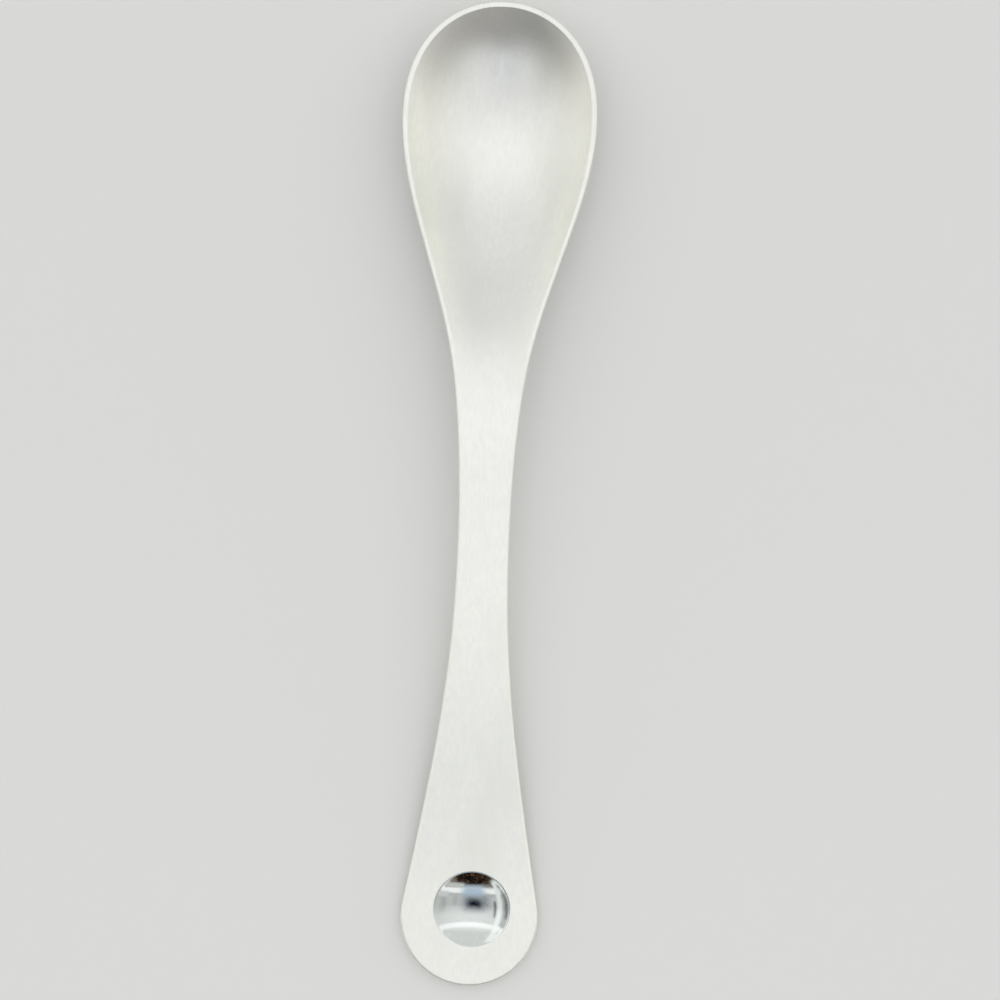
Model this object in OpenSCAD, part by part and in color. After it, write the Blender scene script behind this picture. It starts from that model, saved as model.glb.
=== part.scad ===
// A tablespoon pressed from one piece of steel, with a round dimple struck in the end of its handle.
// +Y runs along the spoon to the tip of the bowl, +X runs across it and +Z is up. The origin is in
// the middle of its length and width. The spoon lies on the belly of the bowl and on the underside
// of the handle's end, both at z = 0. Places along the spoon are distances from the tip.

/* [Outline] */
// Length from the tip of the bowl to the end of the handle
spoon_l = 205; // [198:0.5:230]
// Radius of the outline at the tip
tip_r = 19.7; // [17:0.1:22]
// Width of the bowl at its widest
bowl_w = 40.4; // [36:0.1:44]
// Distance from the tip to the widest place
bowl_widest_at = 24; // [21:0.5:27]
// Width of the bowl where its sides run in towards the neck
taper_w = 29.8; // [26:0.1:32]
// Distance from the tip to that taper
taper_at = 50; // [47:0.5:53]
// Width of the throat, where the bowl turns into the handle
throat_w = 18.9; // [15:0.1:21]
// Distance from the tip to the throat
throat_at = 68; // [65:0.5:71]
// Width of the neck, behind the throat
neck_w = 12.9; // [10.5:0.1:14]
// Distance from the tip to the neck
neck_at = 86; // [83:0.5:89]
// Width of the handle at its narrowest
waist_w = 10.7; // [8.5:0.1:12]
// Distance from the tip to the narrowest place
waist_at = 112; // [107:0.5:117]
// Width of the handle where it swells towards its end
swell_w = 15.6; // [13:0.1:17.5]
// Distance from the end of the handle to that swell
swell_from_end = 55; // [48:0.5:62]
// Radius of the round end of the handle
end_r = 14.4; // [12.5:0.1:16]
// Angle between the middle line and the side of the handle where the round end begins
end_flare = 10.6; // [7:0.1:14]

/* [Side view] */
// Height of the edge at the tip, over the table
tip_z = 10.8; // [9.8:0.1:12.5]
// Angle at which the edge falls away from the tip
tip_fall = 2.8; // [0:0.1:6]
// Height of the bowl's edge where it is lowest
rim_z = 9.7; // [8:0.1:11]
// Distance from the tip to that lowest place
rim_low_at = 36; // [31:0.5:41]
// Height of the handle's arch
arch_z = 12.8; // [11.5:0.1:16]
// Distance from the tip to the top of the arch
arch_at = 87; // [82:0.5:93]
// Height of the handle at the swell
swell_z = 7.5; // [6.5:0.1:9]
// Angle at which the handle's end comes down to the table
end_fall = 0.5; // [0:0.1:4]

/* [Thickness] */
// Thickness of the bowl at its edge
rim_t = 1.1; // [1.05:0.05:1.6]
// Thickness of the bowl at its bottom
bowl_t = 1.6; // [1:0.05:2.2]
// Thickness of the waist
waist_t = 3.4; // [2.4:0.05:4.5]
// Thickness of the handle's end
end_t = 2.4; // [2:0.05:3.4]
// Rise of the handle's top in its middle, at the round end
crown = 0.25; // [0:0.01:0.5]
// Radius that breaks the outer edges
edge_r = 0.5; // [0.15:0.01:0.52]

/* [Hollow] */
// Width of the flat land round the hollow, inside the rounded edge, from the taper on
land_w = 0.4; // [0.2:0.05:1.5]
// Width of the land at the tip, where it is widest
tip_land_w = 0.8; // [0.2:0.05:1.5]
// How much steeper than a parabola the walls of the hollow are
wall_steep = 0.3; // [0:0.05:0.5]
// How much the bowl deepens with each millimetre towards the handle, as a share of its depth
deepening = 0.008; // [0:0.001:0.012]
// Distance from the tip to where the hollow starts to run out
runout_from = 52; // [46:0.5:58]
// Distance from the tip to the end of the hollow
runout_to = 92; // [86:0.5:104]

/* [Dimple] */
// Diameter of the dimple at the surface
dimple_d = 15.8; // [10:0.1:20]
// Depth of the dimple
dimple_depth = 1.2; // [0.5:0.05:1.5]
// Distance from the end of the handle to the middle of the dimple
dimple_from_end = 16.2; // [13:0.1:20]
// Distance from the middle line to the middle of the dimple, towards +X
dimple_side = 0.5; // [-1.5:0.1:1.5]

/* [Hidden] */

// Rows of points round the tip, along the bowl and neck, along the handle, and round its end
tip_rows = 12;
bowl_rows = 28;
handle_rows = 20;
end_rows = 10;
rows = tip_rows + bowl_rows + handle_rows + end_rows;
// Rings of points over the hollow, over the land, round each edge, and over the underside
hollow_rings = 9;
land_rings = 2;
edge_rings = 3;
belly_rings = 8;
// Faces of the ball that strikes the dimple
ball_fn = 96;
// Step between the places where the belly is held off the table
sample_step = 0.25;

// Centre of the round end, and the place of the swell
end_at = spoon_l - end_r;
swell_at = spoon_l - swell_from_end;
// How far in from the outline the hollow starts, and how much more than that at the tip
hollow_in = edge_r + land_w;
tip_more = tip_land_w - land_w;
// Ball that strikes the dimple
ball_r = (pow(dimple_d / 2, 2) + pow(dimple_depth, 2)) / (2 * dimple_depth);

// Smooth step from 0 at a to 1 at b
function step_between(s, a, b) =
    let (t = min(max((s - a) / (b - a), 0), 1)) t * t * (3 - 2 * t);

// A curve is its points and its slopes. The slopes leave no kink in its bend at any point.
// Going forward, each pair [k, m] says that a point's slope is k + m times the next point's slope.
function forward(p, first, i) =
    i == 0 ? [[first, 0]] :
    let (done = forward(p, first, i - 1),
         before = 1 / (p[i].x - p[i - 1].x),
         after = 1 / (p[i + 1].x - p[i].x),
         pull = 3 * ((p[i].y - p[i - 1].y) * before * before + (p[i + 1].y - p[i].y) * after * after),
         hold = 2 * (before + after) + before * done[i - 1][1])
    concat(done, [[(pull - before * done[i - 1][0]) / hold, -after / hold]]);
function backward(pairs, last, i) =
    i == len(pairs) ? [last] :
    let (rest = backward(pairs, last, i + 1)) concat([pairs[i][0] + pairs[i][1] * rest[0]], rest);
function curve(p, first, last) = [p, backward(forward(p, first, len(p) - 2), last, 0)];
function on_curve(c, s, i = 0) =
    i < len(c[0]) - 2 && s > c[0][i + 1].x ? on_curve(c, s, i + 1) :
    let (a = c[0][i], b = c[0][i + 1], h = b.x - a.x, t = (s - a.x) / h)
    a.y * (1 + 2 * t) * pow(1 - t, 2) + b.y * t * t * (3 - 2 * t)
        + h * t * (1 - t) * (c[1][i] * (1 - t) - c[1][i + 1] * t);

// Outline moved in by a distance, and by more towards the tip. The curve gives the half width
// squared, so the tip comes out round.
function outline(inset, more = 0) =
    let (r = end_r - inset, in_at_widest = inset + more * (1 - step_between(bowl_widest_at, 0, taper_at)))
    curve([[inset + more, 0],
           [bowl_widest_at, pow(bowl_w / 2 - in_at_widest, 2)],
           [taper_at, pow(taper_w / 2 - inset, 2)],
           [throat_at, pow(throat_w / 2 - inset, 2)],
           [neck_at, pow(neck_w / 2 - inset, 2)],
           [waist_at, pow(waist_w / 2 - inset, 2)],
           [swell_at, pow(swell_w / 2 - inset, 2)],
           [end_at - r * sin(end_flare), pow(r * cos(end_flare), 2)]],
          2 * (tip_r - inset - more), 2 * r * sin(end_flare));
// Half width squared at s. Past the flare the outline is the circle of the round end.
function half_sq(c, inset, s) =
    let (r = end_r - inset)
    s > end_at - r * sin(end_flare) ? r * r - pow(s - end_at, 2) : on_curve(c, s);

outer = outline(0);
flat_top = outline(edge_r);
hollow = outline(hollow_in, tip_more);

// Height of the edge along the spoon, and thickness of the edge
edge_curve = curve([[0, tip_z], [rim_low_at, rim_z], [arch_at, arch_z], [swell_at, swell_z],
                    [spoon_l, end_t]], -tan(tip_fall), -tan(end_fall));
function edge_z(s) = on_curve(edge_curve, s);
function edge_t(s) = rim_t + (waist_t - rim_t) * step_between(s, runout_from, waist_at)
    - (waist_t - end_t) * step_between(s, waist_at, end_at);

// Share of the full depth at a place, from 0 at the edge to 1 in the middle of the widest place
function bowl_share(c, inset, x, s) =
    let (m = max(half_sq(c, inset, s) - x * x, 0) / on_curve(c, bowl_widest_at))
    m * (1 + wall_steep - wall_steep * m) * (1 + deepening * (s - bowl_widest_at))
        * (1 - step_between(s, runout_from, runout_to));

// The belly is as deep as the table lets it be, and the hollow leaves the bottom its thickness
belly_depth = min([for (s = [tip_r / 2 : sample_step : throat_at])
    (edge_z(s) - edge_t(s)) / bowl_share(outer, 0, 0, s)]);
hollow_depth = belly_depth + rim_t - bowl_t;

function crown_z(x, s) = crown * max(half_sq(flat_top, edge_r, s) - x * x, 0) / pow(end_r, 2)
    * step_between(s, runout_from, runout_to);
function top_z(x, s) = edge_z(s) + crown_z(x, s) - hollow_depth * bowl_share(hollow, hollow_in, x, s);
function under_z(x, s) = edge_z(s) - edge_t(s) - belly_depth * bowl_share(outer, 0, x, s);

// Point of a row on an outline, on the right-hand side, as [x, s]
function row_point(c, inset, i) =
    let (r = end_r - inset, flare_at = end_at - r * sin(end_flare))
    i >= rows - end_rows ?
        let (a = -end_flare + (90 + end_flare) * (i - rows + end_rows) / end_rows)
        [r * cos(a), end_at + r * sin(a)] :
    let (k = i - tip_rows, tip = c[0][0].x,
         s = k <= 0 ? tip + (tip_r - tip) * (1 - cos(90 * i / tip_rows)) :
             k <= bowl_rows ? tip_r + (waist_at - tip_r) * k / bowl_rows :
             waist_at + (flare_at - waist_at) * (k - bowl_rows) / handle_rows)
    [sqrt(max(on_curve(c, s), 0)), s];
// The spine is the middle line between the centre of the tip and the centre of the round end
function spine_s(s) = min(max(s, tip_r), end_at);

// One ring: the right-hand rows from the tip to the end, then the left-hand rows back to the tip.
// reach is the share of the way from the spine to the outline.
function loop_of(side) = concat(side, [for (i = [rows - 1 : -1 : 1]) [-side[i].x, side[i].y, side[i].z]]);
function face_ring(c, inset, reach, top) =
    loop_of([for (i = [0 : rows])
        let (p = row_point(c, inset, i), x = i == 0 || i == rows ? 0 : p.x * reach,
             s = spine_s(p.y) + (p.y - spine_s(p.y)) * reach)
        [x, s, top ? top_z(x, s) : under_z(x, s)]]);
// Ring on the rounded edge, at angle a from flat (0) to upright (90)
function edge_ring(a, top) =
    let (inset = edge_r * (1 - sin(a)), c = outline(inset))
    loop_of([for (i = [0 : rows])
        let (p = row_point(c, inset, i), x = i == 0 || i == rows ? 0 : p.x, fall = edge_r * (1 - cos(a)))
        [x, p.y, top ? edge_z(p.y) - fall : under_z(x, p.y) + fall]]);

// All rings, from the spine of the top over the edge to the spine of the underside
rings = concat(
    [for (k = [1 : hollow_rings]) face_ring(hollow, hollow_in, k / hollow_rings, true)],
    [for (k = [1 : land_rings - 1])
        let (left = 1 - k / land_rings, inset = edge_r + land_w * left)
        face_ring(outline(inset, tip_more * left), inset, 1, true)],
    [face_ring(flat_top, edge_r, 1, true)],
    [for (k = [1 : edge_rings]) edge_ring(90 * k / edge_rings, true)],
    [for (k = [edge_rings : -1 : 1]) edge_ring(90 * k / edge_rings, false)],
    [for (k = [belly_rings : -1 : 1]) face_ring(flat_top, edge_r, k / belly_rings, false)]);
ring_n = 2 * rows;

// Rows whose spine points are apart: all but those that fan out round the tip and the end
hollow_spine = [for (i = [0 : rows]) spine_s(row_point(hollow, hollow_in, i).y)];
spine_rows = [for (i = [0 : rows]) if (i == 0 || hollow_spine[i] > hollow_spine[i - 1]) i];
function spine_of(i, k = 0) =
    k + 1 < len(spine_rows) && spine_rows[k + 1] <= i ? spine_of(i, k + 1) : k;
function spine_points(top) = [for (i = spine_rows)
    let (s = hollow_spine[i]) [0, s, top ? top_z(0, s) : under_z(0, s)]];

module steel_body() {
    top_n = len(spine_rows);
    last = top_n + (len(rings) - 1) * ring_n;
    points = concat(spine_points(true), [for (ring = rings) for (p = ring) p], spine_points(false));
    row_spine = [for (j = [0 : ring_n]) spine_of(j <= rows ? j : ring_n - j)];
    function at(j) = j % ring_n;
    faces = concat(
        [for (j = [0 : ring_n - 1]) [row_spine[j], top_n + j, top_n + at(j + 1)]],
        [for (j = [0 : ring_n - 1]) if (row_spine[j] != row_spine[j + 1])
            [row_spine[j], top_n + at(j + 1), row_spine[j + 1]]],
        [for (k = [0 : len(rings) - 2]) for (j = [0 : ring_n - 1])
            let (a = top_n + k * ring_n) each [
                [a + j, a + ring_n + j, a + ring_n + at(j + 1)],
                [a + j, a + ring_n + at(j + 1), a + at(j + 1)]]],
        [for (j = [0 : ring_n - 1]) [last + ring_n + row_spine[j], last + at(j + 1), last + j]],
        [for (j = [0 : ring_n - 1]) if (row_spine[j] != row_spine[j + 1])
            [last + ring_n + row_spine[j], last + ring_n + row_spine[j + 1], last + at(j + 1)]]);
    polyhedron([for (p = points) [p.x, spoon_l / 2 - p.y, p.z]], faces, convexity = 6);
}

// The ball strikes square to the handle, which still falls a little where the dimple is
module dimple_ball() {
    s = spoon_l - dimple_from_end;
    fall = top_z(dimple_side, s - dimple_d / 2) - top_z(dimple_side, s + dimple_d / 2);
    translate([dimple_side, spoon_l / 2 - s, top_z(dimple_side, s)])
        rotate([atan(fall / dimple_d), 0, 0])
            translate([0, 0, ball_r - dimple_depth])
                sphere(r = ball_r, $fn = ball_fn);
}

module spoon() {
    color("silver")
        difference() {
            steel_body();
            dimple_ball();
        }
}

spoon();
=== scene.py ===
import math
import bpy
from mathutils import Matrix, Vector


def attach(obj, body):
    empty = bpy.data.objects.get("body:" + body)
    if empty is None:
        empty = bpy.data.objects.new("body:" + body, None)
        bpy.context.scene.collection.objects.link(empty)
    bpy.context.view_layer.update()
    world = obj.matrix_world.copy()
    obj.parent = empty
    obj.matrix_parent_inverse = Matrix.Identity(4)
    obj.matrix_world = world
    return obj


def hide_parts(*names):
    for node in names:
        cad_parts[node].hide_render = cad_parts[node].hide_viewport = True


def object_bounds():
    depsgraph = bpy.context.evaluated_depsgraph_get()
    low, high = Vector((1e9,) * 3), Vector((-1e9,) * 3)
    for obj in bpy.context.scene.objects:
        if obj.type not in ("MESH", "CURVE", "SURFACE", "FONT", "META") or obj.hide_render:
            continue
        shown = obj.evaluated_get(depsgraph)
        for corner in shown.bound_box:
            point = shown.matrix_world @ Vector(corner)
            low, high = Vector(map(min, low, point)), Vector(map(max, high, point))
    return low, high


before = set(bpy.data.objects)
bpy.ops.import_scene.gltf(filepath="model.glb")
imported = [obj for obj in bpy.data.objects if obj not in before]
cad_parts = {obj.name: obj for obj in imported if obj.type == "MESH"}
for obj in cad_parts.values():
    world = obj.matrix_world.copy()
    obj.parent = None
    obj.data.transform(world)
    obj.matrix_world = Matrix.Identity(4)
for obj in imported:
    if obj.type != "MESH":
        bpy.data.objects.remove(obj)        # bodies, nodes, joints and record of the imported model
from types import SimpleNamespace

import bmesh
import bpy

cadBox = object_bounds()     # the CAD model's box, before anything is dressed
mm = 0.001               # sizes below are in millimetres
degree = math.pi / 180
quarterTurn = math.pi / 2
photoSide = 1000         # the photograph is square, this many pixels each way


# Arithmetic inside a node tree: a Term is one value there, and formulas are written as usual
class Term:
    def __init__(self, tree, socket):
        self.tree = tree
        self.socket = socket

    def __add__(self, other):
        return nodeMath("ADD", self, other)

    def __radd__(self, other):
        return nodeMath("ADD", other, self)

    def __sub__(self, other):
        return nodeMath("SUBTRACT", self, other)

    def __rsub__(self, other):
        return nodeMath("SUBTRACT", other, self)

    def __mul__(self, other):
        return nodeMath("MULTIPLY", self, other)

    def __rmul__(self, other):
        return nodeMath("MULTIPLY", other, self)

    def __truediv__(self, other):
        return nodeMath("DIVIDE", self, other)

    def __rtruediv__(self, other):
        return nodeMath("DIVIDE", other, self)


def nodeMath(operation, *values):
    tree = next(value.tree for value in values if isinstance(value, Term))
    node = tree.nodes.new("ShaderNodeMath")
    node.operation = operation
    for place, value in enumerate(values):
        if isinstance(value, Term):
            tree.links.new(value.socket, node.inputs[place])
        else:
            node.inputs[place].default_value = value
    return Term(tree, node.outputs[0])


# The x, y and z of a vector
def components(tree, vector):
    node = tree.nodes.new("ShaderNodeSeparateXYZ")
    tree.links.new(vector, node.inputs[0])
    return [Term(tree, part) for part in node.outputs]


# Two colours mixed. The amount and the colours are terms or plain values.
def mixColors(tree, amount, first, second, blend="MIX"):
    node = tree.nodes.new("ShaderNodeMix")
    node.data_type = "RGBA"
    node.blend_type = blend
    for socket, value in ((node.inputs[0], amount), (node.inputs[6], first), (node.inputs[7], second)):
        if isinstance(value, Term):
            tree.links.new(value.socket, socket)
        else:
            socket.default_value = value if isinstance(value, float) else (*value, 1.0)
    return Term(tree, node.outputs[2])


# A formula kept as a node group of its own, so that each use of it is a single node
class Formula:
    def __init__(self, name, inputNames, build):
        self.group = bpy.data.node_groups.new(name, "GeometryNodeTree")
        self.inputNames = inputNames
        for inputName in inputNames:
            self.group.interface.new_socket(inputName, in_out="INPUT", socket_type="NodeSocketFloat")
        self.group.interface.new_socket("result", in_out="OUTPUT", socket_type="NodeSocketFloat")
        given = self.group.nodes.new("NodeGroupInput")
        result = build(SimpleNamespace(**{inputName: Term(self.group, given.outputs[inputName])
                                          for inputName in inputNames}))
        out = self.group.nodes.new("NodeGroupOutput")
        self.group.links.new(result.socket, out.inputs[0])

    # Takes its inputs by name, and what isn't named from a table of sizes
    def __call__(self, sizes, **named):
        values = {**vars(sizes), **named}
        tree = next(value.tree for value in values.values() if isinstance(value, Term))
        node = tree.nodes.new("GeometryNodeGroup")
        node.node_tree = self.group
        for inputName in self.inputNames:
            value = values[inputName]
            if isinstance(value, Term):
                tree.links.new(value.socket, node.inputs[inputName])
            else:
                node.inputs[inputName].default_value = value
        return Term(tree, node.outputs[0])


def atLeast(value, floor):
    return nodeMath("MAXIMUM", value, floor)


def atMost(value, ceiling):
    return nodeMath("MINIMUM", value, ceiling)


def squareRoot(value):
    return nodeMath("SQRT", atLeast(value, 0.0))


def sine(angle):
    return nodeMath("SINE", angle)


def cosine(angle):
    return nodeMath("COSINE", angle)


def tangent(angle):
    return nodeMath("TANGENT", angle)


# 0 before start, 1 after end, straight in between
def ramp(value, start, end, shape="LINEAR"):
    tree = next(part.tree for part in (value, start, end) if isinstance(part, Term))
    node = tree.nodes.new("ShaderNodeMapRange")
    node.interpolation_type = shape
    for name, part in (("Value", value), ("From Min", start), ("From Max", end)):
        if isinstance(part, Term):
            tree.links.new(part.socket, node.inputs[name])
        else:
            node.inputs[name].default_value = part
    return Term(tree, node.outputs[0])


# The same with a soft start and a soft end
def softStep(value, start, end):
    return ramp(value, start, end, "SMOOTHSTEP")


# A smooth curve through points, as (points, slopes). The slopes leave no kink in its bend.
def smoothCurve(points, firstSlope, lastSlope):
    known = [(firstSlope, 0.0)]      # slope = known[0] + known[1] * next slope
    for before, here, after in zip(points, points[1:], points[2:]):
        left = 1.0 / (here[0] - before[0])
        right = 1.0 / (after[0] - here[0])
        pull = 3.0 * ((here[1] - before[1]) * left * left + (after[1] - here[1]) * right * right)
        hold = 2.0 * (left + right) + left * known[-1][1]
        known.append(((pull - left * known[-1][0]) / hold, -1.0 * right / hold))
    slopes = [lastSlope]
    for fixed, share in reversed(known):
        slopes.insert(0, fixed + share * slopes[0])
    return points, slopes


# Height of such a curve: each stretch adds its own rise, and stays level before and after itself
def onCurve(curve, place):
    points, slopes = curve
    total = points[0][1]
    for (x0, y0), (x1, y1), slope0, slope1 in zip(points, points[1:], slopes, slopes[1:]):
        t = ramp(place, x0, x1)
        rise = y1 - y0
        a = (x1 - x0) * slope0
        b = (x1 - x0) * slope1
        total = total + t * (a + t * (3.0 * rise - 2.0 * a - b + t * (a + b - 2.0 * rise)))
    return total


# The spoon. Places along it are distances from the tip of the bowl.
spoonSizes = {
    "spoonLength": (cadBox[1].y - cadBox[0].y) / mm,
    "tipRadius": 19.7,
    "bowlWidth": 40.4,
    "bowlWidestAt": 24.0,
    "taperWidth": 29.8,
    "taperAt": 50.0,
    "throatWidth": 18.9,
    "throatAt": 68.0,
    "neckWidth": 12.9,
    "neckAt": 86.0,
    "waistWidth": 10.7,
    "waistAt": 112.0,
    "swellWidth": 15.6,
    "swellFromEnd": 55.0,
    "endRadius": 14.4,
    "endFlare": 10.6,            # degrees between the handle's side and its middle line
    "tipHeight": 10.8,
    "tipFall": 2.8,              # degrees
    "rimHeight": 9.7,
    "rimLowAt": 36.0,
    "archHeight": 12.8,
    "archAt": 87.0,
    "swellHeight": 7.5,
    "endFall": 0.5,              # degrees
    "rimThickness": 1.1,
    "waistThickness": 3.4,
    "endThickness": 2.4,
    "crownRise": 0.25,
    "edgeRadius": 0.5,
    "landWidth": 0.4,
    "tipLandWidth": 0.8,
    "landSoftness": 0.12,         # half width of the round between the land and the hollow
    "bellyDepth": 8.37,
    "hollowDepth": 7.87,
    "wallSteepness": 0.3,
    "deepening": 0.008,
    "runoutFrom": 52.0,
    "runoutTo": 92.0,
    "dimpleDiameter": 15.8,
    "dimpleDepth": 1.2,
    "dimpleFromEnd": 16.2,
    "dimpleSide": 0.5,
    "dimpleLip": 0.15,           # half width of the round along the dimple's edge
    "bellySoftness": 0.0005,     # keeps the underside's height defined right up to the outline
    "frontWiden": 9.0,           # rows that start at the dimple's front meet the edge this far ahead
    "mapLean": 0.03,             # how much the UV map draws in for each mm of height
}
# Rows run from the tip to the end on each side, rings from the dimple over the edge to the belly
spoonRows = {"tip": 40, "bowl": 120, "handle": 46, "beside": 14, "end": 36}
spoonRings = {"dimple": 16, "lip": 4, "top": 26, "crease": 4, "land": 3,
              "upperEdge": 5, "side": 1, "lowerEdge": 5, "belly": 24}
mapShare = (0.01, 0.004)         # of the UV map for each mm across and along
weldDistance = 0.001             # points closer than this become one


# Half width at the bowl's widest place, for the outline moved in by inset, and by more at the tip
def widestHalf(given, inset, more):
    return given.bowlWidth / 2.0 - inset - more * (1.0 - softStep(given.bowlWidestAt, 0.0, given.taperAt))


# Half width squared along the spoon, for the outline moved in likewise. Past the flare the outline
# is the circle of the round end.
def halfSquaredFormula(given):
    def squared(half):
        return half * half

    def halfSquared(width):
        return squared(width / 2.0 - given.inset)
    radius = given.endRadius - given.inset
    flare = given.endFlare * degree
    flareStart = -1.0 * radius * sine(flare)         # from the centre of the round end
    flareHalf = radius * cosine(flare)
    endAt = given.spoonLength - given.endRadius
    curve = smoothCurve(
        [(given.inset + given.more, 0.0),
         (given.bowlWidestAt, squared(widestHalf(given, given.inset, given.more))),
         (given.taperAt, halfSquared(given.taperWidth)), (given.throatAt, halfSquared(given.throatWidth)),
         (given.neckAt, halfSquared(given.neckWidth)), (given.waistAt, halfSquared(given.waistWidth)),
         (given.spoonLength - given.swellFromEnd, halfSquared(given.swellWidth)),
         (endAt + flareStart, flareHalf * flareHalf)],
        2.0 * (given.tipRadius - given.inset - given.more), 2.0 * radius * sine(flare))
    past = atLeast(given.place - endAt, flareStart)
    return onCurve(curve, given.place) - past * past + flareStart * flareStart


# Height of the outline's upper edge
def edgeHeightFormula(given):
    curve = smoothCurve(
        [(0.0, given.tipHeight), (given.rimLowAt, given.rimHeight), (given.archAt, given.archHeight),
         (given.spoonLength - given.swellFromEnd, given.swellHeight),
         (given.spoonLength, given.endThickness)],
        -1.0 * tangent(given.tipFall * degree), -1.0 * tangent(given.endFall * degree))
    return onCurve(curve, given.place)


# Where a row of points meets the outline, as a distance from the tip
def rowPlaceFormula(given):
    along = {}
    start = 0
    for name, count in spoonRows.items():
        along[name] = ramp(given.row, float(start), float(start + count))
        start += count
    radius = given.endRadius - given.inset
    flare = given.endFlare * degree
    turn = (flare + quarterTurn) * along["end"] - flare
    flareAt = given.spoonLength - given.endRadius - radius * sine(flare)
    tip = given.inset + given.more
    return (tip + (given.tipRadius - tip) * (1.0 - cosine(along["tip"] * quarterTurn))
            + (given.waistAt - given.tipRadius) * along["bowl"]
            + (given.frontAt - given.waistAt) * along["handle"]
            + (flareAt - given.frontAt) * along["beside"]
            + radius * (sine(turn) + sine(flare)))


# Share of the bowl's full depth: 0 at the outline, 1 in the middle of the widest place
def depthShare(given, inset, more, softness):
    half = widestHalf(given, inset, more)
    halfSquared = formulas.halfSquared(given, inset=inset, more=more)
    share = (halfSquared - given.x * given.x) / (half * half)
    share = nodeMath("SMOOTH_MAX", share, 0.0, 2.0 * softness / half)
    return (share * (1.0 + given.wallSteepness - given.wallSteepness * share)
            * (1.0 + given.deepening * (given.place - given.bowlWidestAt))
            * (1.0 - softStep(given.place, given.runoutFrom, given.runoutTo)))


def topHeightFormula(given):
    flatHalfSquared = formulas.halfSquared(given, inset=given.edgeRadius, more=0.0)
    crown = (given.crownRise / (given.endRadius * given.endRadius)
             * atLeast(flatHalfSquared - given.x * given.x, 0.0)
             * softStep(given.place, given.runoutFrom, given.runoutTo))
    dimpleRadius = given.dimpleDiameter / 2.0
    ballRadius = (dimpleRadius * dimpleRadius / given.dimpleDepth + given.dimpleDepth) / 2.0
    aside = given.x - given.dimpleSide
    along = given.place - (given.spoonLength - given.dimpleFromEnd)
    dent = (squareRoot(ballRadius * ballRadius - aside * aside - along * along)
            - (ballRadius - given.dimpleDepth))
    lipDepth = given.dimpleLip * dimpleRadius / ballRadius
    return (formulas.edgeHeight(given) + crown
            - given.hollowDepth * depthShare(given, given.edgeRadius + given.landWidth,
                                             given.tipLandWidth - given.landWidth, given.landSoftness)
            - nodeMath("SMOOTH_MAX", dent, 0.0, 2.0 * lipDepth))


def underHeightFormula(given):
    endAt = given.spoonLength - given.endRadius
    thickness = (given.rimThickness
                 + (given.waistThickness - given.rimThickness)
                 * softStep(given.place, given.runoutFrom, given.waistAt)
                 - (given.waistThickness - given.endThickness)
                 * softStep(given.place, given.waistAt, endAt))
    return (formulas.edgeHeight(given) - thickness
            - given.bellyDepth * depthShare(given, 0.0, 0.0, given.bellySoftness))


sizeNames = list(spoonSizes)
outlineNames = sizeNames[:sizeNames.index("tipHeight")]
edgeNames = ["spoonLength", "swellFromEnd",
             *sizeNames[sizeNames.index("tipHeight"):sizeNames.index("rimThickness")]]
formulas = SimpleNamespace()
formulas.halfSquared = Formula("halfWidthSquared", ["inset", "more", "place", *outlineNames],
                               halfSquaredFormula)
formulas.edgeHeight = Formula("edgeHeight", ["place", "endThickness", *edgeNames], edgeHeightFormula)
formulas.rowPlace = Formula("rowPlace", ["inset", "more", "row", "frontAt", *outlineNames],
                            rowPlaceFormula)
formulas.topHeight = Formula("topHeight", ["x", "place", *sizeNames], topHeightFormula)
formulas.underHeight = Formula("underHeight", ["x", "place", *sizeNames], underHeightFormula)
print("formulas:", ", ".join(group.name for group in bpy.data.node_groups))


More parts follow.
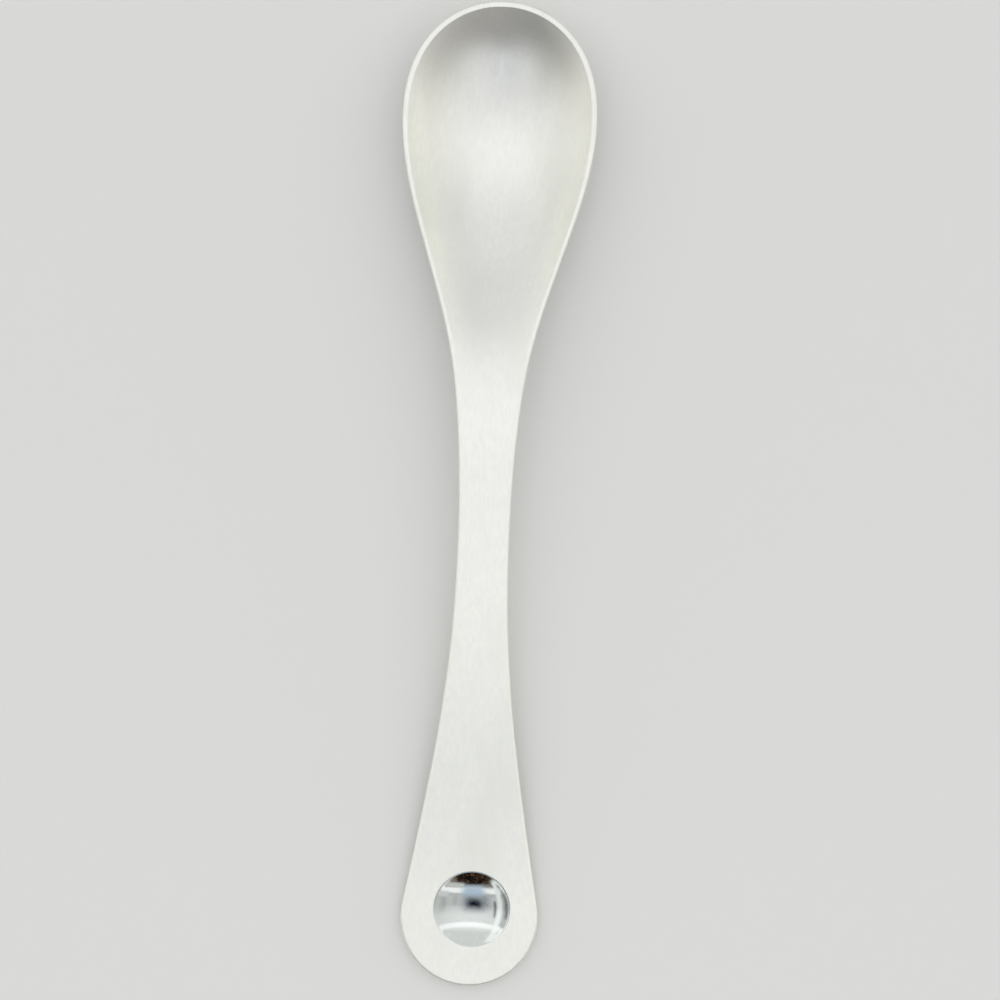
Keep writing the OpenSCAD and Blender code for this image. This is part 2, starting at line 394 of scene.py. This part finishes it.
def spoonTree(satinSteel, polishedSteel):
    tree = bpy.data.node_groups.new("spoonForm", "GeometryNodeTree")
    tree.interface.new_socket("Geometry", in_out="INPUT", socket_type="NodeSocketGeometry")
    tree.interface.new_socket("Geometry", in_out="OUTPUT", socket_type="NodeSocketGeometry")
    for name in spoonSizes:
        tree.interface.new_socket(name, in_out="INPUT", socket_type="NodeSocketFloat")
    source = tree.nodes.new("NodeGroupInput")
    sizes = SimpleNamespace(**{name: Term(tree, source.outputs[name]) for name in spoonSizes})

    def add(kind, **settings):
        node = tree.nodes.new(kind)
        for name, value in settings.items():
            setattr(node, name, value)
        return node

    # A grid: turn counts round the outline from the tip and back, ring goes from the middle of the
    # top over the edge to the middle of the underside
    rowCount = sum(spoonRows.values())
    ringCount = sum(spoonRings.values())
    frontRow = spoonRows["tip"] + spoonRows["bowl"] + spoonRows["handle"]
    grid = add("GeometryNodeMeshGrid")
    grid.inputs["Vertices X"].default_value = 2 * rowCount + 1
    grid.inputs["Vertices Y"].default_value = ringCount + 1
    gridX, gridY = components(tree, add("GeometryNodeInputPosition").outputs[0])[:2]
    turn = nodeMath("ROUND", (gridX + 0.5) * (2.0 * rowCount))
    ring = nodeMath("ROUND", (gridY + 0.5) * float(ringCount))
    row = rowCount - nodeMath("ABSOLUTE", turn - float(rowCount))
    side = nodeMath("SIGN", rowCount - turn) * ramp(row, 0.25, 0.75)

    # How far a point has come through each band of rings, from 0 to 1
    bands = {}
    start = 0
    for name, count in spoonRings.items():
        bands[name] = ramp(ring, float(start), float(start + count))
        start += count

    # Distance in from the outer outline: down over the land, round the edge, and back in below
    hollowInset = sizes.edgeRadius + sizes.landWidth
    upperTurn = bands["upperEdge"] * quarterTurn
    lowerTurn = (1.0 - bands["lowerEdge"]) * quarterTurn
    isBelow = ramp(bands["side"], 0.25, 0.75)
    inset = (hollowInset + sizes.landSoftness - 2.0 * sizes.landSoftness * bands["crease"]
             - (sizes.landWidth - sizes.landSoftness) * bands["land"]
             - sizes.edgeRadius * sine(upperTurn)
             + sizes.edgeRadius * (1.0 - sine(lowerTurn)))
    tipMore = sizes.tipLandWidth - sizes.landWidth
    more = tipMore * (1.0 - bands["land"])
    dimpleAt = sizes.spoonLength - sizes.dimpleFromEnd
    dimpleRadius = sizes.dimpleDiameter / 2.0
    dimpleFront = dimpleAt - dimpleRadius - sizes.dimpleLip
    frontAt = dimpleFront - sizes.frontWiden
    ringAt = formulas.rowPlace(sizes, inset=inset, more=more, row=row, frontAt=frontAt)
    ringX = squareRoot(formulas.halfSquared(sizes, inset=inset, more=more, place=ringAt))

    # The rows of the top start on the middle line, and near the end on the dimple's circle
    handleRow = float(frontRow - spoonRows["handle"])
    nearFront = ramp(row, handleRow, float(frontRow))
    atDimple = ramp(row, frontRow - 0.75, frontRow - 0.25)
    middleAt = (atMost(atLeast(ringAt, sizes.tipRadius), frontAt)
                + sizes.frontWiden * nearFront * nearFront * nearFront)
    middleX = sizes.dimpleSide * softStep(middleAt, sizes.waistAt, dimpleFront)
    frontX = squareRoot(formulas.halfSquared(sizes, inset=hollowInset, more=tipMore, place=frontAt))
    frontAngle = nodeMath("ARCTAN2", frontX, dimpleAt - frontAt)
    angle = ramp(nodeMath("ARCTAN2", ringX, dimpleAt - ringAt), frontAngle, math.pi) * math.pi
    reach = (dimpleRadius - sizes.dimpleLip) * bands["dimple"] + 2.0 * sizes.dimpleLip * bands["lip"]
    circleX = side * sine(angle)
    circleAt = -1.0 * cosine(angle)
    startX = middleX + (sizes.dimpleSide + reach * circleX - middleX) * atDimple
    startAt = middleAt + (dimpleAt + reach * circleAt - middleAt) * atDimple
    topX = startX + (side * ringX - startX) * bands["top"]
    topAt = startAt + (ringAt - startAt) * bands["top"]

    # The rows of the underside run to the middle line again
    endAt = sizes.spoonLength - sizes.endRadius
    spineAt = atMost(atLeast(ringAt, sizes.tipRadius), endAt)
    underX = side * ringX * (1.0 - bands["belly"])
    underAt = ringAt + (spineAt - ringAt) * bands["belly"]

    def blend(above, below):
        return above + (below - above) * isBelow
    x = blend(topX, underX)
    place = blend(topAt, underAt)
    drop = sizes.edgeRadius * (1.0 - cosine(upperTurn))
    lift = sizes.edgeRadius * (1.0 - cosine(lowerTurn))
    z = blend(formulas.topHeight(sizes, x=x, place=place) - drop,
              formulas.underHeight(sizes, x=x, place=place) + lift)
    y = sizes.spoonLength / 2.0 - place

    # Passes the geometry through one more node, with inputs of its own by name
    def through(geometry, kind, inputs, **settings):
        node = add(kind, **settings)
        tree.links.new(geometry, node.inputs[0])
        for name, value in inputs.items():
            if isinstance(value, bpy.types.NodeSocket):
                tree.links.new(value, node.inputs[name])
            else:
                node.inputs[name].default_value = value
        return node.outputs[0]

    def vector(*values):
        node = add("ShaderNodeCombineXYZ")
        for socket, value in zip(node.inputs, values):
            tree.links.new(value.socket, socket)
        return node.outputs[0]

    # Row and ring numbers are kept, because the next steps choose faces by them. The UV map lies
    # flat over the spoon, and leans a little with height so that it doesn't fold up on the sides.
    lean = 1.0 - z * sizes.mapLean
    mapX, mapY = [0.5 + part * lean * share for part, share in ((x, mapShare[0]), (y, mapShare[1]))]
    stored = (("row", "FLOAT", "POINT", row.socket), ("ring", "FLOAT", "POINT", ring.socket),
              ("UVMap", "FLOAT2", "CORNER", vector(mapX, mapY)))
    geometry = grid.outputs["Mesh"]
    for name, kind, domain, socket in stored:
        geometry = through(geometry, "GeometryNodeStoreNamedAttribute", {"Name": name, "Value": socket},
                           data_type=kind, domain=domain)
    geometry = through(geometry, "GeometryNodeSetPosition", {"Position": vector(x * mm, y * mm, z * mm)})

    def kept(name):
        read = add("GeometryNodeInputNamedAttribute", data_type="FLOAT")
        read.inputs["Name"].default_value = name
        return Term(tree, read.outputs["Attribute"])
    insideLip = nodeMath("LESS_THAN", kept("ring"), float(spoonRings["dimple"] + spoonRings["lip"]))
    ahead = nodeMath("LESS_THAN", kept("row"), float(frontRow))
    noDimple = (insideLip * ahead).socket        # rows ahead of the dimple have none
    geometry = through(geometry, "GeometryNodeDeleteGeometry", {"Selection": noDimple}, domain="FACE")
    geometry = through(geometry, "GeometryNodeMergeByDistance", {"Distance": weldDistance * mm})
    geometry = through(geometry, "GeometryNodeSetShadeSmooth", {})
    geometry = through(geometry, "GeometryNodeRealizeInstances", {})
    geometry = through(geometry, "GeometryNodeSetMaterial", {"Material": satinSteel})
    geometry = through(geometry, "GeometryNodeSetMaterial",
                       {"Material": polishedSteel, "Selection": insideLip.socket})
    tree.links.new(geometry, add("NodeGroupOutput").inputs[0])
    print("spoon form:", len(tree.nodes), "nodes")
    return tree


def plainMesh(name, tree, values):
    source = bpy.data.objects.new(name + "Source", bpy.data.meshes.new(name + "Source"))
    bpy.context.collection.objects.link(source)
    modifier = source.modifiers.new("form", "NODES")
    modifier.node_group = tree
    for item in tree.interface.items_tree:
        if item.in_out == "INPUT" and item.name in values:
            modifier[item.identifier] = values[item.name]
    depsgraph = bpy.context.evaluated_depsgraph_get()
    mesh = bpy.data.meshes.new_from_object(source.evaluated_get(depsgraph))
    mesh.name = name
    source.modifiers.remove(modifier)
    bpy.data.objects.remove(source)
    piece = bpy.data.objects.new(name, mesh)
    bpy.context.collection.objects.link(piece)
    return piece


# Every material reads Object coordinates, which are metres here; its noise reads them through a Mapping
# node
class Material:
    def __init__(self, name):
        self.material = bpy.data.materials.new(name)
        self.material.use_nodes = True
        self.tree = self.material.node_tree
        self.shader = self.tree.nodes["Principled BSDF"]
        self.place = self.tree.nodes.new("ShaderNodeTexCoord").outputs["Object"]

    # Noise from 0 to 1, with one size in mm along each axis
    def noise(self, sizes, detail=2.0, turn=0.0):
        mapping = self.tree.nodes.new("ShaderNodeMapping")
        mapping.inputs["Scale"].default_value = [1.0 / (size * mm) for size in sizes]
        mapping.inputs["Rotation"].default_value = (0.0, 0.0, turn * degree)
        texture = self.tree.nodes.new("ShaderNodeTexNoise")
        texture.inputs["Scale"].default_value = 1.0
        texture.inputs["Detail"].default_value = detail
        self.tree.links.new(self.place, mapping.inputs["Vector"])
        self.tree.links.new(mapping.outputs[0], texture.inputs["Vector"])
        return Term(self.tree, texture.outputs["Fac"])

    def bump(self, height, distance):
        node = self.tree.nodes.new("ShaderNodeBump")
        node.inputs["Strength"].default_value = 1.0
        node.inputs["Distance"].default_value = distance * mm
        self.tree.links.new(height.socket, node.inputs["Height"])
        return Term(self.tree, node.outputs[0])

    def set(self, **inputs):
        for name, value in inputs.items():
            socket = self.shader.inputs[name.replace("_", " ")]
            if isinstance(value, Term):
                self.tree.links.new(value.socket, socket)
            else:
                socket.default_value = value


# Satin steel: brushed lengthwise, with lines of three sizes and a faint cloudiness
satinLook = {
    "color": (0.955, 0.945, 0.895),
    "cloudColor": (0.875, 0.87, 0.82),
    "grainColor": (0.905, 0.90, 0.86),
    "bowlPaintedShade": (0.88, 0.885, 0.905),   # painted shade: the bowl's colour is made a little darker, standing in for the shade in its hollow
    "bowlShadeFrom": (-38.0, 12.0),          # mm, where that painted shade starts and is complete
    "roughness": 0.41,
    "roughnessRange": 0.10,
    "anisotropic": 0.45,
    "grains": [(0.7, 2.6, 0.4), (0.3, 1.6, 0.35), (0.14, 0.9, 0.25)],   # mm across, mm along, share
    "grainRange": (0.38, 0.62),         # noise values where the grain's colour starts and is complete
    "grainDepth": 0.0015,               # mm
    "clouds": (9.0, 22.0),              # mm across and along
    "cloudRange": (0.48, 0.80),
}


def makeSatin():
    steel = Material("satinSteel")
    grain = 0.0
    for across, along, share in satinLook["grains"]:
        grain = steel.noise((across, along, across), 1.0) * share + grain
    across, along = satinLook["clouds"]
    clouds = steel.noise((across, along, across), 3.0)
    # painted shade: the bowl's colour is multiplied a little darker than the handle's, standing in for
    # shade
    start, full = satinLook["bowlShadeFrom"]
    bowlShadeAmount = softStep(components(steel.tree, steel.place)[1], start * mm, full * mm)
    color = mixColors(steel.tree, ramp(grain, *satinLook["grainRange"]),
                      satinLook["color"], satinLook["grainColor"])
    color = mixColors(steel.tree, ramp(clouds, *satinLook["cloudRange"]), color, satinLook["cloudColor"])
    color = mixColors(steel.tree, bowlShadeAmount, color, satinLook["bowlPaintedShade"], "MULTIPLY")
    tangentNode = steel.tree.nodes.new("ShaderNodeTangent")
    tangentNode.direction_type = "UV_MAP"
    tangentNode.uv_map = "UVMap"
    steel.set(Metallic=1.0, Base_Color=color,
              Roughness=satinLook["roughness"] + satinLook["roughnessRange"] * (grain - 0.5),
              Anisotropic=satinLook["anisotropic"], Tangent=Term(steel.tree, tangentNode.outputs[0]),
              Normal=steel.bump(grain, satinLook["grainDepth"]))
    return steel.material


# Polished steel: a mirror with a slight unevenness from the press and a few hairlines
polishedLook = {
    "color": (0.53, 0.55, 0.54),
    "roughness": 0.045,
    "hazeRange": 0.05,
    "waves": (1.6, 0.004),              # mm wide, mm deep
    "waveRange": (0.45, 0.75),          # noise values where the haze starts and is complete
    "hairlines": (0.06, 3.0, 0.0002),   # mm wide, long and deep
    "hairlineTurn": 24.0,               # degrees
}


def makePolished():
    steel = Material("polishedSteel")
    waveSize, waveDepth = polishedLook["waves"]
    waves = steel.noise((waveSize, waveSize, waveSize), 3.0)
    hairAcross, hairAlong, hairDepth = polishedLook["hairlines"]
    hairlines = steel.noise((hairAcross, hairAlong, hairAcross), 0.0, polishedLook["hairlineTurn"])
    height = waves * waveDepth + hairlines * hairDepth
    haze = ramp(waves, *polishedLook["waveRange"])
    steel.set(Metallic=1.0, Base_Color=(*polishedLook["color"], 1.0),
              Roughness=polishedLook["roughness"] + polishedLook["hazeRange"] * haze,
              Normal=steel.bump(height, 1.0))
    return steel.material


satinSteel = makeSatin()
polishedSteel = makePolished()
spoon = plainMesh("spoonBody", spoonTree(satinSteel, polishedSteel), spoonSizes)
check = bmesh.new()
check.from_mesh(spoon.data)
openEdges = sum(not edge.is_manifold for edge in check.edges)
print("spoon:", len(check.faces), "faces,", openEdges, "open edges, volume",
      round(check.calc_volume(signed=True) * 1e9, 1), "mm3")
check.free()
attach(spoon, "root")
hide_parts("spoon")


# Floor, camera and light
floorLook = {
    "color": (0.82, 0.82, 0.815),
    "roughness": 0.7,
    "reach": 3000.0,                # from the middle to each side
    "fibres": (0.6, 0.02),          # mm wide, mm deep
}


def makeFloor():
    mesh = bpy.data.meshes.new("floor")
    reach = floorLook["reach"] * mm
    mesh.from_pydata([(-reach, -reach, 0), (reach, -reach, 0), (reach, reach, 0), (-reach, reach, 0)],
                     [], [(0, 1, 2, 3)])
    floor = bpy.data.objects.new("floor", mesh)
    bpy.context.collection.objects.link(floor)
    paper = Material("palePaper")
    size, depth = floorLook["fibres"]
    fibres = paper.noise((size, size, size), 4.0)
    paper.set(Base_Color=(*floorLook["color"], 1.0), Roughness=floorLook["roughness"],
              Normal=paper.bump(fibres, depth))
    mesh.materials.append(paper.material)


makeFloor()

cameraPlace = {"height": 600.0, "focusPixels": 2855.5, "right": 3.08, "along": -0.67, "lean": 2.231}


def makeCamera():
    data = bpy.data.cameras.new("camera")
    data.sensor_width = 36.0
    data.lens = cameraPlace["focusPixels"] * data.sensor_width / photoSide
    camera = bpy.data.objects.new("camera", data)
    bpy.context.collection.objects.link(camera)
    lean = cameraPlace["lean"] * degree
    camera.location = (cameraPlace["right"] * math.cos(lean) * mm,
                       (cameraPlace["along"] + cameraPlace["right"] * math.sin(lean)) * mm,
                       cameraPlace["height"] * mm)
    camera.rotation_euler = (0, 0, lean)
    bpy.context.scene.camera = camera


makeCamera()

# The light tent round the spoon. A place in it is two angles in degrees from straight overhead:
# along, towards the tip of the bowl, and across, towards the right. Later cards hang in front of
# earlier ones. Bend curves a card's long sides, and specks are a second colour scattered over it.
tent = {
    "strength": 1.0,
    "overhead": (1.12, 1.12, 1.10),
    "cards": [
        {"name": "tipEnd", "color": (0.76, 0.775, 0.775), "along": (27, 120), "across": (-90, 90),
         "soft": 17},
        {"name": "rightSide", "color": (1.08, 1.08, 1.02), "along": (-90, 46), "across": (46, 120),
         "soft": 18},
        {"name": "leftSide", "color": (1.08, 1.085, 1.03), "along": (-90, 46), "across": (-120, -40),
         "soft": 20},
        {"name": "rightLow", "color": (1.30, 1.30, 1.12), "along": (-25, 120), "across": (76, 120),
         "soft": 9},
        {"name": "leftLow", "color": (1.26, 1.26, 1.09), "along": (-25, 120), "across": (-120, -76),
         "soft": 9},
        {"name": "handleEnd", "color": (0.37, 0.36, 0.34), "along": (-120, -26.5), "across": (-80, 80),
         "soft": 16},
        {"name": "handleFar", "color": (0.52, 0.51, 0.49), "along": (-120, -50), "across": (-22, 28),
         "soft": 14},
        {"name": "darkShelf", "color": (0.28, 0.285, 0.28), "along": (-72, -37), "across": (15, 46),
         "soft": 9},
        {"name": "darkWall", "color": (0.13, 0.135, 0.14), "along": (-90, -40.5), "across": (-57, -21),
         "soft": 10},
        {"name": "ceiling", "color": (0.90, 0.91, 0.90), "specks": (0.70, 0.715, 0.71),
         "along": (-31, -1), "across": (-30, 36), "soft": 4},
        {"name": "stain", "color": (0.66, 0.68, 0.675), "specks": (0.80, 0.82, 0.815),
         "along": (-30, -13), "across": (22, 27), "soft": 3, "bend": (0, -0.012)},
        {"name": "stainNear", "color": (0.66, 0.68, 0.675), "specks": (0.80, 0.82, 0.815),
         "along": (-29, -19), "across": (13, 16), "soft": 3, "bend": (0, 0.012)},
        {"name": "tipPanel", "color": (1.10, 1.11, 1.09), "specks": (1.34, 1.35, 1.33),
         "along": (2, 19), "across": (-24, 30), "soft": 3},
        {"name": "leftEdge", "color": (0.12, 0.14, 0.16), "along": (-25, -9), "across": (-20.8, -18.9),
         "soft": 1.2, "bend": (0, -0.004)},
        {"name": "stripHandle", "color": (1.55, 1.55, 1.55), "along": (-36, -30.5), "across": (-34, 36),
         "soft": 1.2, "bend": (-0.0035, 0)},
        {"name": "stripTip", "color": (1.45, 1.45, 1.45), "along": (-3.7, 1), "across": (-34, 34),
         "soft": 1.2, "bend": (0.0055, 0)},
        {"name": "leftPanel", "color": (0.62, 0.65, 0.64), "along": (-50, 0), "across": (-36, -27),
         "soft": 1.0, "bend": (0, -0.0087)},
        {"name": "leftLine", "color": (0.17, 0.19, 0.20), "specks": (0.42, 0.44, 0.44),
         "along": (-46, -9), "across": (-31.3, -28.7), "soft": 1.0, "bend": (0, -0.0087)},
        {"name": "leftStrip", "color": (1.30, 1.33, 1.31), "along": (-44, 4), "across": (-26, -22),
         "soft": 1.2, "bend": (0, -0.0087)},
        {"name": "leftCorner", "color": (1.56, 1.57, 1.55), "along": (-1, 22), "across": (-28.3, -23.3),
         "soft": 1.4, "bend": (0, -0.0087)},
        {"name": "blue", "color": (0.74, 0.89, 1.08), "along": (-38, -25), "across": (-11, 9), "soft": 5},
        {"name": "flagFringe", "color": (0.30, 0.23, 0.17), "specks": (0.62, 0.45, 0.33),
         "along": (-52, -40), "across": (12, 25), "soft": 2.2, "bend": (-0.007, 0)},
        {"name": "flag", "color": (0.008, 0.007, 0.006), "specks": (0.44, 0.23, 0.12),
         "along": (-52, -39), "across": (-17, 16), "soft": 1.8, "bend": (-0.007, 0)},
        {"name": "stripEnd", "color": (0.92, 0.91, 0.87), "specks": (1.30, 1.28, 1.22),
         "along": (-40.2, -36.2), "across": (8, 25), "soft": 1.6, "bend": (-0.0035, 0)},
        {"name": "stripFoot", "color": (0.98, 0.99, 0.99), "specks": (1.15, 1.16, 1.16),
         "along": (-32, -27), "across": (21, 36), "soft": 1.6, "bend": (-0.0035, 0)},
        {"name": "spotHaze", "color": (0.50, 0.52, 0.55), "specks": (0.26, 0.30, 0.35),
         "along": (-28, -13), "across": (-15, 8), "soft": 4.5, "bend": (-0.012, 0)},
        {"name": "spot", "color": (0.006, 0.010, 0.025), "specks": (0.30, 0.37, 0.48),
         "along": (-25.3, -16.3), "across": (-8.3, 3.8), "soft": 4.0, "bend": (0.02, 0)},
    ],
    "bendMiddle": -22.0,                 # along, where a card bent across comes furthest out
    "speckSize": 1.4,                    # degrees
    "speckRange": (0.54, 0.72),          # noise values where specks start and are complete
    "surround": (0.8, 0.8, 0.8),         # what shows behind the floor
}


def makeTent():
    world = bpy.data.worlds.new("lightTent")
    world.use_nodes = True
    tree = world.node_tree
    x, y, z = components(tree, tree.nodes.new("ShaderNodeTexCoord").outputs["Generated"])
    along = nodeMath("ARCTAN2", y, z) / degree
    across = nodeMath("ARCTAN2", x, z) / degree
    offBend = along - tent["bendMiddle"]

    speckle = tree.nodes.new("ShaderNodeTexNoise")
    speckle.inputs["Scale"].default_value = 1.0 / (tent["speckSize"] * degree)
    speckle.inputs["Detail"].default_value = 4.0
    specks = ramp(Term(tree, speckle.outputs["Fac"]), *tent["speckRange"])

    light = tent["overhead"]
    for card in tent["cards"]:
        soft = card["soft"]
        alongBend, acrossBend = card.get("bend", (0, 0))
        places = {"along": along - alongBend * across * across if alongBend else along,
                  "across": across + acrossBend * offBend * offBend if acrossBend else across}
        amount = 1.0
        for way, place in places.items():
            low, high = card[way]
            amount = (amount * softStep(place, low - soft, low + soft)
                      * (1.0 - softStep(place, high - soft, high + soft)))
        color = card["color"]
        if "specks" in card:
            color = mixColors(tree, specks, color, card["specks"])
        light = mixColors(tree, amount, light, color)
    seen = Term(tree, tree.nodes.new("ShaderNodeLightPath").outputs["Is Camera Ray"])
    light = mixColors(tree, seen, light, tent["surround"])
    background = tree.nodes["Background"]
    tree.links.new(light.socket, background.inputs["Color"])
    background.inputs["Strength"].default_value = tent["strength"]
    bpy.context.scene.world = world
    bpy.context.scene.view_settings.view_transform = "Standard"


makeTent()

# A soft light over the handle, brightest at its middle
handleLight = {"place": (0, -146, 450), "size": (640, 200), "radiance": 0.45}


def makeLight():
    light = bpy.data.lights.new("handleLight", "AREA")
    light.shape = "RECTANGLE"
    light.size, light.size_y = [part * mm for part in handleLight["size"]]
    light.energy = handleLight["radiance"] * math.pi * light.size * light.size_y
    light.use_nodes = True
    tree = light.node_tree
    emission = next(node for node in tree.nodes if node.type == "EMISSION")
    u, v = components(tree, tree.nodes.new("ShaderNodeNewGeometry").outputs["Parametric"])[:2]
    fade = (u * (1 - u)) * (v * (1 - v)) * 16        # 1 at the middle, 0 along the sides
    tree.links.new(fade.socket, emission.inputs["Strength"])
    held = bpy.data.objects.new("handleLight", light)
    held.location = [part * mm for part in handleLight["place"]]
    held.visible_camera = False
    bpy.context.scene.collection.objects.link(held)


makeLight()
print("light tent:", len(tent["cards"]), "cards")
